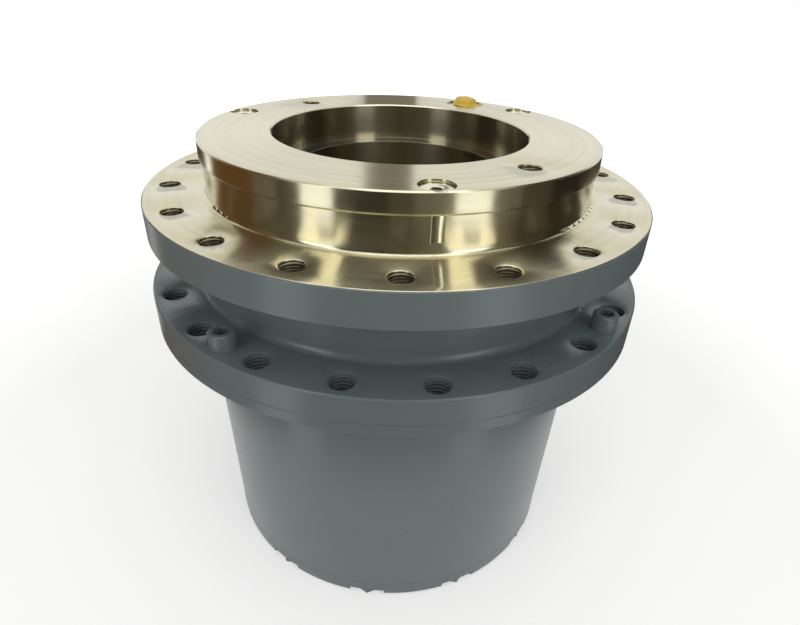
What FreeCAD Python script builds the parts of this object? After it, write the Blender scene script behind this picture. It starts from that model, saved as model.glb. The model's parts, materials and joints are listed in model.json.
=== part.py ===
import FreeCAD, Part
import math
import os

from FreeCAD import Vector

# Excavator final drive: a two stage planetary travel gearbox, stood up with its motor face on top.
# Millimetres. +Z runs along the axle towards the motor, and the origin is the centre of the frame
# flange's mating face. Angles are in degrees, from -Y towards +X.

# Motor end of the spindle
MOTOR_PILOT_RADIUS = 100.0
MOTOR_PILOT_DEPTH = 30.0
LAND_WIDTH = 54.0
LAND_HEIGHT = 40.0
PILOT_BAND_HEIGHT = 15.0
PILOT_BAND_STEP = 2.0
PILOT_BAND_BEVEL = 1.5
LAND_ROOT_ROUNDING = 3.0
MOTOR_THREAD_RADIUS = 8.0
MOTOR_THREAD_DEPTH = 32.0
MOTOR_BOLT_INSET = 28.0
MOTOR_BOLT_COUNT = 2
MOTOR_BOLT_ANGLE = 41.0
PULL_PIN_RADIUS = 10.5
PULL_PIN_LENGTH = 30.0
PULL_PIN_RECESS = 1.8
PULL_PIN_SEAT_DEPTH = 4.0
PULL_PIN_BORE_RADIUS = 3.25
PULL_PIN_BORE_DEPTH = 14.0
PULL_PIN_MOUTH = 1.15
PULL_PIN_INSET = 12.0
PULL_PIN_ANGLES = (8.9, 130.0, 251.0)
OIL_PORT_RADIUS = 8.0
OIL_PORT_DEPTH = 20.0
OIL_PORT_FACE_RADIUS = 17.5
OIL_PORT_FACE_DEPTH = 1.5
OIL_PORT_INSET = 20.5
OIL_PORT_ANGLE = 152.4
PORT_CAP_HEAD_RADIUS = 9.5
PORT_CAP_HEAD_HEIGHT = 8.0
PORT_CAP_RIM_RADIUS = 12.5
PORT_CAP_RIM_HEIGHT = 1.6
PORT_CAP_STEM_LENGTH = 12.0

# Frame flange
FRAME_BOLT_INSET = 25.5
FRAME_BOLT_EDGE = 17.5
FRAME_BOLT_COUNT = 18
FRAME_BOLT_ANGLE = 0.9
FRAME_THREAD_RADIUS = 8.0
FRAME_FLANGE_THICKNESS = 25.0

# Main bearings: two tapered roller bearings, backs together on a rib of the hub
BEARING_BORE_RADIUS = 100.0
BEARING_SECTION = 32.0
BEARING_WIDTH = 32.0
BEARING_CUP_WIDTH = 27.0
BEARING_CONE_WIDTH = 29.0
BEARING_RIB_WIDTH = 6.0
BEARING_RIB_HEIGHT = 8.0
ROLLER_COUNT = 30
ROLLER_LENGTH = 21.0
ROLLER_TILT = 14.0
ROLLER_TAPER = 1.0
CONE_LIP = 2.5
CAGE_THICKNESS = 2.5
CAGE_END_BAR = 2.2
SPINDLE_WALL = 16.0
SPINDLE_SHOULDER = 14.0
SPINDLE_FLOOR = 30.0
SPINDLE_THREAD_STEP = 2.0
RING_NUT_HEIGHT = 18.0
RING_NUT_SECTION = 18.0
RING_NUT_NOSE = 3.0
RING_NUT_NOSE_SECTION = 8.0
LOCK_SCREW_RADIUS = 4.0
LOCK_SCREW_LENGTH = 14.0
LOCK_SCREW_COUNT = 2
SPINDLE_END_LENGTH = 6.0
CAVITY_FLOOR_ROUNDING = 4.0
NUT_SLOT_COUNT = 4
NUT_SLOT_WIDTH = 12.0
NUT_SLOT_DEPTH = 5.0
NUT_SLOT_ANGLE = 45.0

# Floating face seal between the frame flange and the hub collar
SEAL_SEAT_STEP = 7.5
SEAL_SEAT_FLOOR = 4.0
SEAL_RING_WIDTH = 16.0
SEAL_RING_FACE = 5.0
SEAL_RING_GAP = 4.0
SEAL_FACE_INSET = 2.5
SEAL_RUBBER_SECTION = 5.6
SEAL_SEAT_DEPTH = 13.0

# Hub
COLLAR_WALL = 23.0
COLLAR_GAP = 2.0
COLLAR_HEIGHT = 42.6
COLLAR_ROUNDING = 5.0
HUB_FLANGE_THICKNESS = 19.4
SPIGOT_WALL = 15.0
SPIGOT_OVERHANG = 2.0
GROOVE_DEPTH = 4.4
GROOVE_WIDTH = 6.0

# Sprocket flange, made of the hub flange and the drum flange under it
SPROCKET_BOLT_INSET = 22.0
SPROCKET_BOLT_EDGE = 15.0
SPROCKET_BOLT_COUNT = 20
SPROCKET_BOLT_ANGLE = 8.5
SPROCKET_THREAD_RADIUS = 9.0
SPROCKET_HOLE_RADIUS = 9.6
FLANGE_SCREW_RADIUS = 6.0
FLANGE_SCREW_HEAD_RADIUS = 9.0
FLANGE_SCREW_HEAD_HEIGHT = 12.0
FLANGE_SCREW_SOCKET = 5.8
FLANGE_SCREW_SOCKET_DEPTH = 6.0
FLANGE_SCREW_SHIFT = 1.0
FLANGE_SCREW_PITCHES = 2.5
FLANGE_SCREW_HOLE_GAP = 0.6
FLANGE_SCREW_COUNT = 4

# Drum, with the ring gear cut in its bore
DRUM_FLANGE_THICKNESS = 9.0
DRUM_TOP_WALL = 17.0
DRUM_END_WALL = 20.0
DRUM_REGISTER_LENGTH = 16.0
DRUM_REGISTER_ROUNDING = 3.0
DRUM_LENGTH = 219.0
GEAR_END_GAP = 4.0
COVER_BORE_STEP = 3.0

# End cover
COVER_RIM_THICKNESS = 9.5
COVER_PAD_HEIGHT = 6.5
COVER_PAD_WIDTH = 25.0
COVER_PAD_ROUNDING = 4.5
COVER_RELIEF_WIDTH = 30.0
COVER_SPIGOT_LENGTH = 12.0
COVER_SPIGOT_WALL = 22.0
COVER_DISC_THICKNESS = 14.0
COVER_BOSS_WALL = 9.0
COVER_BOLT_COUNT = 12
COVER_BOLT_ANGLE = -6.0
COVER_BOLT_RADIUS = 5.0
COVER_BOLT_HOLE_GAP = 0.5
COVER_BOLT_REACH = 16.0
COVER_BOLT_HEAD_HEIGHT = 6.0
COVER_BOLT_ACROSS_FLATS = 14.0
OIL_PLUG_CIRCLE_RADIUS = 95.0
OIL_PLUG_RADIUS = 12.0
OIL_PLUG_LENGTH = 13.0
OIL_PLUG_HEAD_RADIUS = 15.5
OIL_PLUG_HEAD_HEIGHT = 4.0
OIL_PLUG_SOCKET = 7.0
OIL_PLUG_SOCKET_DEPTH = 9.0
OIL_PLUG_WASHER = 1.5
DRAIN_PLUG_ANGLE = 24.0
LEVEL_PLUG_ANGLE = 114.0
THRUST_BUTTON_RADIUS = 15.0
THRUST_BUTTON_HEIGHT = 8.0
THRUST_BUTTON_STAND = 2.0

# Gear train: module, then the teeth; the ring and the first sun follow from the others
MODULE = 4.0
PRESSURE_ANGLE = 25.0
ADDENDUM = 1.0
DEDENDUM = 1.25
BACKLASH = 0.3
FINAL_SUN_TEETH = 18
FINAL_PLANET_TEETH = 24
FINAL_PLANET_COUNT = 4
FINAL_PIN_RADIUS = 20.0
FINAL_BUSH_WALL = 4.0
FINAL_TOP_PLATE = 18.0
FINAL_BOTTOM_PLATE = 14.0
FINAL_PILLAR_RADIUS = 17.0
FIRST_PLANET_TEETH = 27
FIRST_PLANET_COUNT = 3
FIRST_PLANET_WIDTH = 30.0
FIRST_PIN_RADIUS = 14.0
FIRST_BUSH_WALL = 3.0
FIRST_TOP_PLATE = 10.0
FIRST_BOTTOM_PLATE = 8.0
FIRST_PILLAR_RADIUS = 17.0
CARRIER_RIM_GAP = 4.0
CARRIER_SCREW_RADIUS = 6.0
CARRIER_SCREW_HEAD_RADIUS = 9.0
CARRIER_SCREW_HEAD_HEIGHT = 12.0
CARRIER_SCREW_REACH = 20.0
CARRIER_SCREW_SOCKET = 5.0
CARRIER_SCREW_SOCKET_DEPTH = 6.0
CARRIER_DOWEL_RADIUS = 8.0
CARRIER_DOWEL_REACH = 16.0
CARRIER_SCREW_INSET = 2.0
CARRIER_SCREW_SINK = 0.5
CARRIER_HOLE_WALL = 3.0
PLANET_SIDE_GAP = 1.5
THRUST_WASHER_WIDTH = 12.0
STAGE_GAP = 2.5
CARRIER_COVER_GAP = 5.5
SUN_TIP_GAP = 2.0
SUN_BORE_GAP = 2.0
SUN_SPLINE_FIT = 0.05

# Input shaft, from the motor cavity down through the final sun
INPUT_SHAFT_RADIUS = 15.0
INPUT_SPLINE_MODULE = 2.0
INPUT_SPLINE_TEETH = 16
INPUT_SPLINE_LENGTH = 26.0
SHAFT_PASSAGE_GAP = 6.0
SHAFT_NOSE_RADIUS = 12.0

# Fits and edges
SEAT_FIT = 0.01
RUNNING_FIT = 0.05
SPIGOT_FIT = 0.02
BODY_GAP = 0.3
FACE_FILM = 0.1
EDGE_BEVEL = 1.0
THREAD_MOUTH_DEPTH = 0.5
THREAD_MOUTH_ANGLE = 60.0
DRILL_POINT_ANGLE = 59.0
CUTTER_OVERLAP = 2.0
SAME_POINT = 1e-6

# Radii that follow from the sizes above
cavity_radius = BEARING_BORE_RADIUS - SPINDLE_WALL
land_radius = MOTOR_PILOT_RADIUS + LAND_WIDTH
frame_bolt_circle = land_radius + FRAME_BOLT_INSET
frame_flange_radius = frame_bolt_circle + FRAME_BOLT_EDGE
spindle_neck_radius = BEARING_BORE_RADIUS + SPINDLE_SHOULDER
nut_thread_radius = BEARING_BORE_RADIUS - SPINDLE_THREAD_STEP
bearing_outer_radius = BEARING_BORE_RADIUS + BEARING_SECTION
seal_seat_radius = bearing_outer_radius + SEAL_SEAT_STEP
collar_radius = seal_seat_radius + COLLAR_WALL
spigot_radius = bearing_outer_radius + SPIGOT_WALL
drum_top_radius = spigot_radius + DRUM_TOP_WALL
sprocket_bolt_circle = drum_top_radius + SPROCKET_BOLT_INSET
sprocket_flange_radius = sprocket_bolt_circle + SPROCKET_BOLT_EDGE
flange_screw_circle = sprocket_bolt_circle + FLANGE_SCREW_SHIFT
flange_screw_angle = SPROCKET_BOLT_ANGLE + FLANGE_SCREW_PITCHES * 360.0 / SPROCKET_BOLT_COUNT

# Gear radii
RING_TEETH = FINAL_SUN_TEETH + 2 * FINAL_PLANET_TEETH
FIRST_SUN_TEETH = RING_TEETH - 2 * FIRST_PLANET_TEETH
final_centre_distance = MODULE * (FINAL_SUN_TEETH + FINAL_PLANET_TEETH) / 2
first_centre_distance = MODULE * (FIRST_SUN_TEETH + FIRST_PLANET_TEETH) / 2
ring_tip_radius = MODULE * (RING_TEETH / 2 - ADDENDUM)
ring_root_radius = MODULE * (RING_TEETH / 2 + DEDENDUM)
carrier_radius = ring_tip_radius - CARRIER_RIM_GAP
cover_bore_radius = ring_root_radius + COVER_BORE_STEP
drum_end_radius = ring_root_radius + DRUM_END_WALL
cover_bolt_circle = (cover_bore_radius + drum_end_radius) / 2
final_sun_tip_radius = MODULE * (FINAL_SUN_TEETH / 2 + ADDENDUM)
first_sun_tip_radius = MODULE * (FIRST_SUN_TEETH / 2 + ADDENDUM)
input_spline_tip_radius = INPUT_SPLINE_MODULE * (INPUT_SPLINE_TEETH / 2 + ADDENDUM)
shaft_passage_radius = input_spline_tip_radius + SHAFT_PASSAGE_GAP
sun_bore_radius = input_spline_tip_radius + SUN_BORE_GAP
final_carrier_bore_radius = final_sun_tip_radius + SUN_TIP_GAP
first_carrier_bore_radius = first_sun_tip_radius + SUN_TIP_GAP

# Heights, from the motor end down
flange_bottom = -FRAME_FLANGE_THICKNESS
pilot_floor = LAND_HEIGHT - MOTOR_PILOT_DEPTH
pilot_band_bottom = LAND_HEIGHT - PILOT_BAND_HEIGHT
collar_top = flange_bottom - COLLAR_GAP
seal_roof = flange_bottom + SEAL_SEAT_DEPTH
seal_face = seal_roof - SEAL_RING_GAP / 2 - SEAL_RING_WIDTH
seal_floor = seal_face - SEAL_RING_WIDTH - SEAL_RING_GAP / 2
bearing_top = seal_floor - SEAL_SEAT_FLOOR
rib_top = bearing_top - BEARING_WIDTH
rib_bottom = rib_top - BEARING_RIB_WIDTH
bearing_bottom = rib_bottom - BEARING_WIDTH
hub_flange_top = collar_top - COLLAR_HEIGHT
hub_flange_bottom = hub_flange_top - HUB_FLANGE_THICKNESS
hub_end = bearing_bottom - SPIGOT_OVERHANG
drum_flange_bottom = hub_flange_bottom - DRUM_FLANGE_THICKNESS
drum_end = hub_flange_bottom - DRUM_LENGTH
gear_top = hub_end - GEAR_END_GAP
cover_inner = drum_end + COVER_SPIGOT_LENGTH
gear_bottom = cover_inner + GEAR_END_GAP
cover_face = drum_end - COVER_RIM_THICKNESS
pad_face = cover_face - COVER_PAD_HEIGHT
nut_bottom = bearing_bottom - RING_NUT_HEIGHT
spindle_end = nut_bottom - SPINDLE_END_LENGTH
cavity_floor = spindle_end + SPINDLE_FLOOR
final_top_plate_bottom = spindle_end - FINAL_TOP_PLATE
final_planet_top = final_top_plate_bottom - PLANET_SIDE_GAP
thrust_face = cover_inner + THRUST_BUTTON_STAND
shaft_top = cavity_floor + INPUT_SPLINE_LENGTH
carrier_screw_seat = final_top_plate_bottom + CARRIER_SCREW_HEAD_HEIGHT + CARRIER_SCREW_SINK
spigot_groove_height = (hub_flange_bottom + hub_end) / 2
cover_groove_height = (cover_inner + drum_end) / 2

# Heights of the gear stages, from the end cover up: the final planets are as wide as the room they find
first_carrier_bottom = cover_inner + CARRIER_COVER_GAP
first_bottom_plate_top = first_carrier_bottom + FIRST_BOTTOM_PLATE
first_planet_bottom = first_bottom_plate_top + PLANET_SIDE_GAP
first_planet_top = first_planet_bottom + FIRST_PLANET_WIDTH
first_top_plate_bottom = first_planet_top + PLANET_SIDE_GAP
first_carrier_top = first_top_plate_bottom + FIRST_TOP_PLATE
final_carrier_bottom = first_carrier_top + STAGE_GAP
final_bottom_plate_top = final_carrier_bottom + FINAL_BOTTOM_PLATE
final_planet_bottom = final_bottom_plate_top + PLANET_SIDE_GAP


def corner_points(before, corner, after, kind, size):
    """The points that a rounding or a bevel puts in place of a corner: its start, middle and end."""
    to_before = (before - corner).normalize()
    to_after = (after - corner).normalize()
    half_angle = to_before.getAngle(to_after) / 2
    if kind == "bevel":
        return [corner + to_before * size, corner + to_after * size]
    reach = size / math.tan(half_angle)
    bisector = (to_before + to_after).normalize()
    middle = corner + bisector * (size / math.sin(half_angle) - size)
    return [corner + to_before * reach, middle, corner + to_after * reach]


def turned(corners):
    """A solid of revolution about Z. Corners are (radius, height), and may add "round" or "bevel", size."""
    places = [Vector(corner[0], 0, corner[1]) for corner in corners]
    pieces = []
    for number, corner in enumerate(corners):
        before = places[number - 1]
        after = places[(number + 1) % len(places)]
        if len(corner) == 2:
            pieces.append([places[number]])
        else:
            pieces.append(corner_points(before, places[number], after, corner[2], corner[3]))
    edges = []
    for number, points in enumerate(pieces):
        if len(points) == 3:
            edges.append(Part.Arc(*points).toShape())
        elif len(points) == 2:
            edges.append(Part.LineSegment(*points).toShape())
        start = points[-1]
        end = pieces[(number + 1) % len(pieces)][0]
        if start.distanceToPoint(end) > SAME_POINT:
            edges.append(Part.LineSegment(start, end).toShape())
    return Part.Face(Part.Wire(edges)).revolve(Vector(0, 0, 0), Vector(0, 0, 1), 360)


def disc(radius, bottom, top):
    """A plain cylinder on the Z axis between two heights."""
    return Part.makeCylinder(radius, top - bottom, Vector(0, 0, bottom))


def sleeve(inner, outer, bottom, top):
    """A plain ring on the Z axis between two heights."""
    return disc(outer, bottom, top).cut(disc(inner, bottom, top))


def placed(shape, radius, angle):
    """A copy of a shape moved from the axis to a radius at an angle, measured from -Y towards +X."""
    moved = shape.copy()
    moved.translate(Vector(0, -radius, 0))
    moved.rotate(Vector(0, 0, 0), Vector(0, 0, 1), angle)
    return moved


def even_angles(count, first):
    return [first + number * 360.0 / count for number in range(count)]


def spread(shape, radius, angles):
    return [placed(shape, radius, angle) for angle in angles]


def save(name, solids):
    """Write one node: a solid, or a group of separate like solids."""
    shape = Part.Compound(solids) if isinstance(solids, list) else solids
    shape.exportStep(f"parts/{name}.step")


def tapped_hole(radius, top, bottom):
    """A through hole at a thread's major radius, with a shallow countersink at its upper mouth."""
    mouth = radius + THREAD_MOUTH_DEPTH * math.tan(math.radians(THREAD_MOUTH_ANGLE))
    return turned([(0, top), (mouth, top), (radius, top - THREAD_MOUTH_DEPTH), (radius, bottom), (0, bottom)])


def blind_hole(radius, top, depth):
    """A drilled and tapped hole with its drill point at the bottom."""
    mouth = radius + THREAD_MOUTH_DEPTH * math.tan(math.radians(THREAD_MOUTH_ANGLE))
    point = top - depth - radius / math.tan(math.radians(DRILL_POINT_ANGLE))
    return turned(
        [(0, top), (mouth, top), (radius, top - THREAD_MOUTH_DEPTH), (radius, top - depth), (0, point)]
    )


def hexagon(corner_radius, bottom, top):
    """A hexagonal prism on the Z axis, with one corner towards -Y."""
    corners = []
    for angle in even_angles(6, 0.0):
        turn = math.radians(angle)
        corners.append(Vector(corner_radius * math.sin(turn), -corner_radius * math.cos(turn), bottom))
    outline = Part.makePolygon(corners + corners[:1])
    return Part.Face(outline).extrude(Vector(0, 0, top - bottom))


def involute(angle):
    return math.tan(angle) - angle


def gear_outline(teeth, module, root_radius, tip_radius, widening, phase):
    """The wire of a spur gear at height zero. Each flank is one arc through three points of its involute.

    widening is added to every tooth on its pitch circle: negative for a gear with backlash, and positive
    for the cutter that leaves the spaces of an internal gear. phase turns the first tooth from -Y.
    """
    pitch_radius = module * teeth / 2
    pressure = math.radians(PRESSURE_ANGLE)
    base_radius = pitch_radius * math.cos(pressure)
    half_tooth = math.pi / (2 * teeth) + widening / (2 * pitch_radius)
    pitch_angle = 2 * math.pi / teeth
    low_radius = max(root_radius, base_radius)
    middle_radius = (low_radius + tip_radius) / 2

    def half_angle(radius):
        return half_tooth + involute(pressure) - involute(math.acos(base_radius / radius))

    def point(radius, angle):
        return Vector(radius * math.sin(angle), -radius * math.cos(angle), 0)

    edges = []
    for tooth in range(teeth):
        centre = math.radians(phase) + tooth * pitch_angle
        rising = [point(r, centre - half_angle(r)) for r in (low_radius, middle_radius, tip_radius)]
        falling = [point(r, centre + half_angle(r)) for r in (tip_radius, middle_radius, low_radius)]
        left_root = point(root_radius, centre - half_angle(low_radius))
        right_root = point(root_radius, centre + half_angle(low_radius))
        next_root = point(root_radius, centre + pitch_angle - half_angle(low_radius))
        space_middle = point(root_radius, centre + pitch_angle / 2)
        if low_radius > root_radius:
            edges.append(Part.LineSegment(left_root, rising[0]).toShape())
        edges.append(Part.Arc(*rising).toShape())
        edges.append(Part.Arc(rising[-1], point(tip_radius, centre), falling[0]).toShape())
        edges.append(Part.Arc(*falling).toShape())
        if low_radius > root_radius:
            edges.append(Part.LineSegment(falling[-1], right_root).toShape())
        edges.append(Part.Arc(right_root, space_middle, next_root).toShape())
    return Part.Wire(edges)


def gear(teeth, module, bottom, top, phase, growth=0.0):
    """An external gear blank with its teeth, solid at the centre. growth offsets its outline outwards."""
    root_radius = module * (teeth / 2 - DEDENDUM) + growth
    tip_radius = module * (teeth / 2 + ADDENDUM) + growth
    outline = gear_outline(teeth, module, root_radius, tip_radius, 2 * growth - BACKLASH / 2, phase)
    blank = Part.Face(outline).extrude(Vector(0, 0, top - bottom))
    blank.translate(Vector(0, 0, bottom))
    return blank


def ring_gear_cutter():
    """The spaces of the ring gear, as one prism that runs past the toothed bore at both ends and inside."""
    inner_radius = ring_tip_radius - CUTTER_OVERLAP
    outline = gear_outline(RING_TEETH, MODULE, inner_radius, ring_root_radius, BACKLASH / 2, 0.0)
    cutter = Part.Face(outline).extrude(Vector(0, 0, gear_top - gear_bottom + 2 * CUTTER_OVERLAP))
    cutter.translate(Vector(0, 0, gear_bottom - CUTTER_OVERLAP))
    return cutter


def planet_angles(sun_teeth, count):
    """Even spacing, rounded to the nearest angles at which a planet meshes with both sun and ring."""
    steps = sun_teeth + RING_TEETH
    return [360.0 / steps * round(number * steps / count) for number in range(count)]


def sun_phase(sun_teeth, planet_teeth):
    """Where the sun's first tooth stands to mesh with a planet in the -Y direction."""
    return 180.0 * (planet_teeth - 1) / sun_teeth


def gaps_between(angles):
    """The angles halfway between neighbouring planets."""
    following = angles[1:] + [angles[0] + 360.0]
    return [(angle + after) / 2 for angle, after in zip(angles, following)]


def cap_screw(radius, length, head_radius, head_height, socket_radius, socket_depth):
    """A socket head cap screw with its head above height zero and its shank below."""
    screw = turned(
        [
            (0, head_height),
            (head_radius, head_height, "bevel", EDGE_BEVEL),
            (head_radius, 0),
            (radius - SEAT_FIT, 0),
            (radius - SEAT_FIT, -length),
            (0, -length),
        ]
    )
    return screw.cut(hexagon(socket_radius, head_height - socket_depth, head_height))


def turned_over(shape, height):
    """A copy of a shape turned upside down, with its zero height moved to the one given."""
    flipped = shape.copy()
    flipped.rotate(Vector(0, 0, 0), Vector(1, 0, 0), 180)
    flipped.translate(Vector(0, 0, height))
    return flipped


def raised(shape, height):
    moved = shape.copy()
    moved.translate(Vector(0, 0, height))
    return moved


frame_bolt_angles = even_angles(FRAME_BOLT_COUNT, FRAME_BOLT_ANGLE)
motor_bolt_angles = even_angles(MOTOR_BOLT_COUNT, MOTOR_BOLT_ANGLE)
sprocket_bolt_angles = even_angles(SPROCKET_BOLT_COUNT, SPROCKET_BOLT_ANGLE)
flange_screw_angles = even_angles(FLANGE_SCREW_COUNT, flange_screw_angle)
cover_bolt_angles = even_angles(COVER_BOLT_COUNT, COVER_BOLT_ANGLE)
oil_plug_angles = [DRAIN_PLUG_ANGLE, LEVEL_PLUG_ANGLE]
final_planet_angles = planet_angles(FINAL_SUN_TEETH, FINAL_PLANET_COUNT)
first_planet_angles = planet_angles(FIRST_SUN_TEETH, FIRST_PLANET_COUNT)
pull_pin_circle = land_radius - PULL_PIN_INSET
motor_bolt_circle = MOTOR_PILOT_RADIUS + MOTOR_BOLT_INSET
oil_port_circle = land_radius - OIL_PORT_INSET
pull_pin_top = LAND_HEIGHT - PULL_PIN_RECESS
oil_port_floor = LAND_HEIGHT - OIL_PORT_FACE_DEPTH

# The final carrier's screws and dowels stand between its planets: one dowel with a screw on either side
carrier_screw_circle = final_centre_distance - CARRIER_SCREW_INSET
carrier_dowel_angles = gaps_between(final_planet_angles)
carrier_screw_spacing = CARRIER_DOWEL_RADIUS + CARRIER_SCREW_HEAD_RADIUS + CARRIER_HOLE_WALL
carrier_screw_turn = math.degrees(2 * math.asin(carrier_screw_spacing / (2 * carrier_screw_circle)))
carrier_screw_angles = [
    angle + side * carrier_screw_turn for angle in carrier_dowel_angles for side in (-1, 1)
]


def make_spindle():
    """The static housing: pilot land and frame flange on top, bearing neck and carrier seat below."""
    band_radius = land_radius - PILOT_BAND_STEP
    body = turned(
        [
            (MOTOR_PILOT_RADIUS, LAND_HEIGHT, "bevel", EDGE_BEVEL),
            (land_radius, LAND_HEIGHT, "bevel", EDGE_BEVEL),
            (land_radius, pilot_band_bottom, "bevel", PILOT_BAND_BEVEL),
            (band_radius, pilot_band_bottom),
            (band_radius, 0, "round", LAND_ROOT_ROUNDING),
            (frame_flange_radius, 0, "bevel", EDGE_BEVEL),
            (frame_flange_radius, flange_bottom, "bevel", EDGE_BEVEL),
            (seal_seat_radius, flange_bottom, "bevel", EDGE_BEVEL),
            (seal_seat_radius, seal_roof),
            (spindle_neck_radius, seal_roof),
            (spindle_neck_radius, bearing_top),
            (BEARING_BORE_RADIUS, bearing_top),
            (BEARING_BORE_RADIUS, bearing_bottom),
            (nut_thread_radius, bearing_bottom),
            (nut_thread_radius, spindle_end, "bevel", EDGE_BEVEL),
            (shaft_passage_radius, spindle_end, "bevel", EDGE_BEVEL),
            (shaft_passage_radius, cavity_floor, "bevel", EDGE_BEVEL),
            (cavity_radius, cavity_floor, "round", CAVITY_FLOOR_ROUNDING),
            (cavity_radius, pilot_floor),
            (MOTOR_PILOT_RADIUS, pilot_floor),
        ]
    )
    pin_seat = turned(
        [
            (0, LAND_HEIGHT),
            (PULL_PIN_RADIUS + PULL_PIN_MOUTH, LAND_HEIGHT),
            (PULL_PIN_RADIUS + PULL_PIN_MOUTH, LAND_HEIGHT - PULL_PIN_SEAT_DEPTH),
            (PULL_PIN_RADIUS + SEAT_FIT, LAND_HEIGHT - PULL_PIN_SEAT_DEPTH),
            (PULL_PIN_RADIUS + SEAT_FIT, pull_pin_top - PULL_PIN_LENGTH),
            (0, pull_pin_top - PULL_PIN_LENGTH),
        ]
    )
    port = turned(
        [
            (0, LAND_HEIGHT),
            (OIL_PORT_FACE_RADIUS, LAND_HEIGHT),
            (OIL_PORT_FACE_RADIUS, oil_port_floor),
            (OIL_PORT_RADIUS, oil_port_floor),
            (OIL_PORT_RADIUS, oil_port_floor - OIL_PORT_DEPTH),
            (0, oil_port_floor - OIL_PORT_DEPTH),
        ]
    )
    frame_hole = tapped_hole(FRAME_THREAD_RADIUS, 0, flange_bottom)
    motor_hole = blind_hole(MOTOR_THREAD_RADIUS, LAND_HEIGHT, MOTOR_THREAD_DEPTH)
    screw_hole = disc(CARRIER_SCREW_RADIUS, spindle_end, spindle_end + CARRIER_SCREW_REACH)
    dowel_hole = disc(CARRIER_DOWEL_RADIUS + SEAT_FIT, spindle_end, spindle_end + CARRIER_DOWEL_REACH)
    return body.cut(
        spread(frame_hole, frame_bolt_circle, frame_bolt_angles)
        + spread(motor_hole, motor_bolt_circle, motor_bolt_angles)
        + spread(pin_seat, pull_pin_circle, PULL_PIN_ANGLES)
        + [placed(port, oil_port_circle, OIL_PORT_ANGLE)]
        + spread(screw_hole, carrier_screw_circle, carrier_screw_angles)
        + spread(dowel_hole, carrier_screw_circle, carrier_dowel_angles)
    )


def make_pull_pin():
    """A round pin sunk in the motor face, with a small tapped centre to draw it out."""
    pin = turned(
        [
            (0, pull_pin_top),
            (PULL_PIN_RADIUS, pull_pin_top, "bevel", THREAD_MOUTH_DEPTH),
            (PULL_PIN_RADIUS, pull_pin_top - PULL_PIN_LENGTH),
            (0, pull_pin_top - PULL_PIN_LENGTH),
        ]
    )
    return pin.cut(blind_hole(PULL_PIN_BORE_RADIUS, pull_pin_top, PULL_PIN_BORE_DEPTH))


def make_port_cap():
    """The plastic cap that keeps dirt out of the oil port in transport."""
    stem_radius = OIL_PORT_RADIUS - RUNNING_FIT
    rim_top = oil_port_floor + PORT_CAP_RIM_HEIGHT
    head_top = oil_port_floor + PORT_CAP_HEAD_HEIGHT
    return turned(
        [
            (0, head_top),
            (PORT_CAP_HEAD_RADIUS, head_top, "round", EDGE_BEVEL),
            (PORT_CAP_HEAD_RADIUS, rim_top),
            (PORT_CAP_RIM_RADIUS, rim_top),
            (PORT_CAP_RIM_RADIUS, oil_port_floor),
            (stem_radius, oil_port_floor),
            (stem_radius, oil_port_floor - PORT_CAP_STEM_LENGTH, "bevel", EDGE_BEVEL),
            (0, oil_port_floor - PORT_CAP_STEM_LENGTH),
        ]
    )


def make_seal_half():
    """One metal ring of the floating seal and the rubber ring that carries it, sealing face at zero."""
    inner_radius = spindle_neck_radius + SEAL_RING_GAP
    face_radius = seal_seat_radius - SEAL_FACE_INSET
    back_radius = seal_seat_radius - 2 * SEAL_RUBBER_SECTION - 2 * SEAT_FIT
    ring = turned(
        [
            (inner_radius, FACE_FILM / 2),
            (face_radius, FACE_FILM / 2),
            (face_radius, SEAL_RING_FACE),
            (back_radius, SEAL_RING_FACE),
            (back_radius, SEAL_RING_WIDTH, "bevel", EDGE_BEVEL),
            (inner_radius, SEAL_RING_WIDTH, "bevel", EDGE_BEVEL),
        ]
    )
    rubber_height = SEAL_RING_FACE + SEAL_RUBBER_SECTION + SEAT_FIT
    rubber_radius = seal_seat_radius - SEAT_FIT - SEAL_RUBBER_SECTION
    rubber = Part.makeTorus(rubber_radius, SEAL_RUBBER_SECTION, Vector(0, 0, rubber_height))
    return ring, rubber


def rubber_ring(groove_radius, height):
    """The round rubber ring that fills a groove of GROOVE_DEPTH whose floor is at the radius given."""
    section = GROOVE_DEPTH / 2 - SEAT_FIT
    return Part.makeTorus(groove_radius + SEAT_FIT + section, section, Vector(0, 0, height))


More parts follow.
